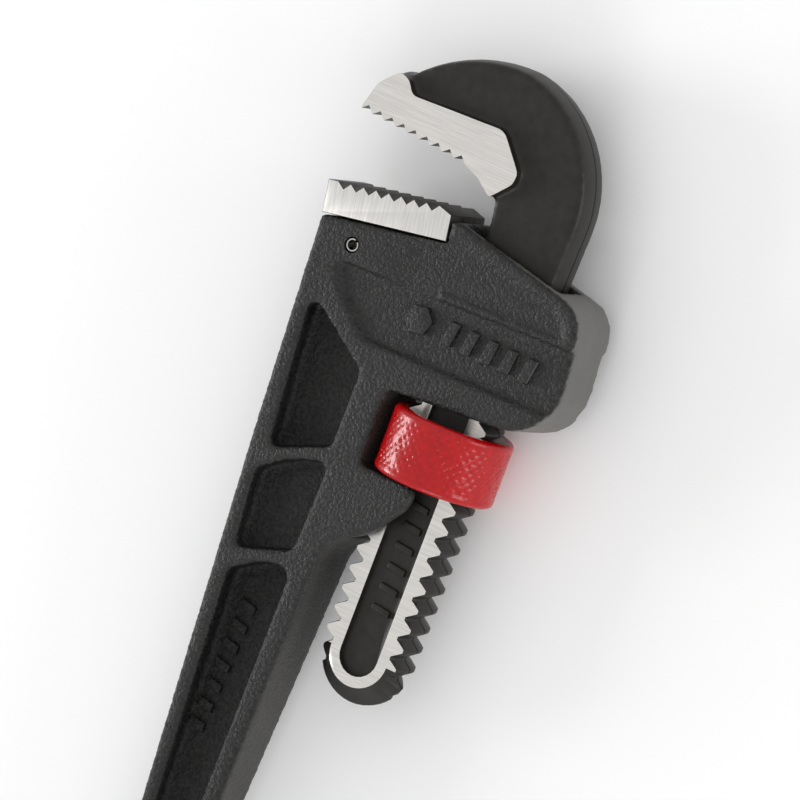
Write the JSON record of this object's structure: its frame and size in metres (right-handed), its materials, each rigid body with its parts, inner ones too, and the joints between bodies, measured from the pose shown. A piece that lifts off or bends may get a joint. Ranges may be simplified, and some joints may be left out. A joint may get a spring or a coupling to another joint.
{
  "type": "pipe wrench",
  "caption": "Adjustable pipe wrench with a toothed heel jaw, a screw-adjusted rocking hook jaw and a red knurled nut, on a ribbed cast handle with a hang hole.",
  "frame": {"origin": "under the middle of the whole wrench, on the surface it lies on", "axes": "+Y along the handle towards the jaws, +X from the mouth towards the housing, +Z out of the front face"},
  "size_m": [0.0844, 0.2486, 0.025],
  "materials": {
    "cast_iron_coat": "sand-textured black powder coat",
    "ground_steel": "surface ground",
    "spring_steel": "bright",
    "forged_steel": "satin black, ground bright on the flat faces",
    "red_enamel": "gloss enamel over a knurl"
  },
  "bodies": {
    "handle": {"handle_frame": "cast_iron_coat", "heel_jaw": "ground_steel", "heel_jaw_pin": "spring_steel", "coil_spring": "spring_steel"},
    "spring_leaf": {"flat_spring": "spring_steel"},
    "jaw": {"hook_jaw": "forged_steel"},
    "nut": {"adjusting_nut": "red_enamel"}
  },
  "joints": [
    {"name": "jaw_rock", "type": "hinge", "parent": "handle", "child": "spring_leaf", "pos_m": [0.00448, 0.05465, 0.0125], "axis": [0, 0, 1], "range_deg": [0, 4], "stiffness_Nm_per_rad": 0.8, "springref_deg": -5.73},
    {"name": "nut_spin", "type": "hinge", "parent": "spring_leaf", "child": "nut", "pos_m": [0.01681, 0.05259, 0.0125], "axis": [-0.165, -0.9863, 0], "range_deg": [-560, 1715]},
    {"name": "jaw_slide", "type": "slide", "parent": "spring_leaf", "child": "jaw", "axis": [0.165, 0.9863, 0], "range_m": [-0.0065, 0.02]}
  ],
  "couplings": [
    {"joint": "nut_spin", "follows": "jaw_slide", "rad_per_m": 1496}
  ]
}
